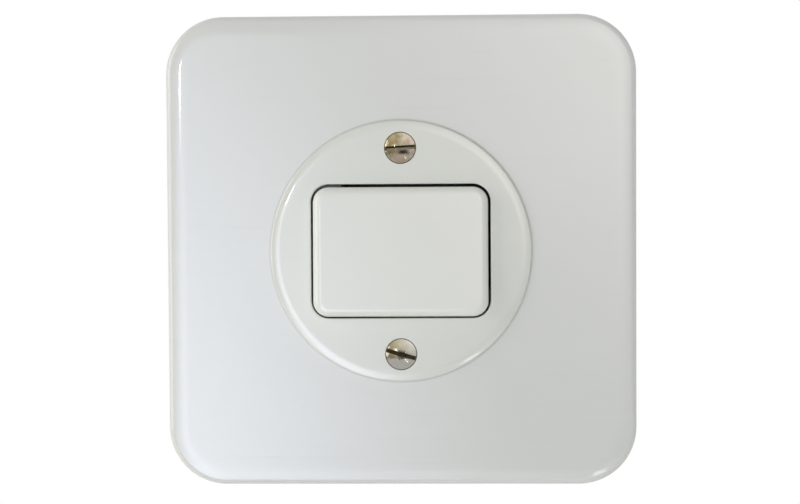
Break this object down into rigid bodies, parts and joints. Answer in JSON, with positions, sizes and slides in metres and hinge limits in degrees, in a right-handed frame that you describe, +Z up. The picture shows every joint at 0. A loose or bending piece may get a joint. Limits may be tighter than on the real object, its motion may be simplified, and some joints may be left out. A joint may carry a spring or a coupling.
{
  "type": "light switch",
  "caption": "Wall light switch: a square white steel cover plate with a round moulded disc, a wide rocker, slotted fixing screws, and a contact mechanism on a yoke behind.",
  "frame": {"origin": "centre of the switch on the wall plane, midway between the yoke's box screw holes", "axes": "+X to the right and +Z up, seen from the room; +Y into the wall, so the front faces -Y"},
  "size_m": [0.116, 0.0388, 0.116],
  "materials": {
    "enamelled_steel": "gloss white enamel with fine orange peel",
    "white_moulding": "gloss moulded, warm white",
    "plated_screw": "nickel plated brass, turned",
    "bright_steel": "drawn bright steel",
    "spring_steel": "coiled wire",
    "natural_nylon": "moulded, translucent off-white",
    "copper_alloy": "stamped",
    "silver": "rivet, dull bright",
    "brass": "machined and stamped",
    "small_screw": "zinc plated",
    "dark_moulding": "phenolic moulding, dark",
    "zinc_plated_steel": "stamped, zinc plated"
  },
  "bodies": {
    "housing": {"cover_plate": "enamelled_steel", "front_disc": "white_moulding", "front_screws": "plated_screw", "common_contact": "brass", "switched_contact": "brass", "fixed_contact_tip": "silver", "common_terminal": "brass", "switched_terminal": "brass", "terminal_screws": "small_screw", "switch_base": "dark_moulding", "base_screws": "small_screw", "yoke": "zinc_plated_steel", "earth_screw": "brass", "earth_clamp_washer": "brass"},
    "rocker_lever": {"rocker": "white_moulding", "pivot_pin": "bright_steel", "rocker_spring": "spring_steel"},
    "plunger": {"spring_plunger": "natural_nylon"},
    "see_saw": {"moving_contact": "copper_alloy", "moving_contact_tip": "silver"}
  },
  "joints": [
    {"name": "rocker_pivot", "type": "hinge", "parent": "housing", "child": "rocker_lever", "pos_m": [0, -0.0063, 0], "axis": [1, 0, 0], "range_deg": [0, 4]},
    {"name": "plunger_slide", "type": "slide", "parent": "rocker_lever", "child": "plunger", "axis": [0, -0.9994, 0.0349], "range_m": [0, 0.0008], "stiffness_N_per_m": 600, "springref_m": -0.003, "deforming": ["rocker_spring"]},
    {"name": "contact_pivot", "type": "hinge", "parent": "housing", "child": "see_saw", "pos_m": [0, 0.01065, 0], "axis": [-1, 0, 0], "range_deg": [0, 20]}
  ],
  "couplings": [
    {"joint": "contact_pivot", "follows": "rocker_pivot", "ratio": 5}
  ]
}
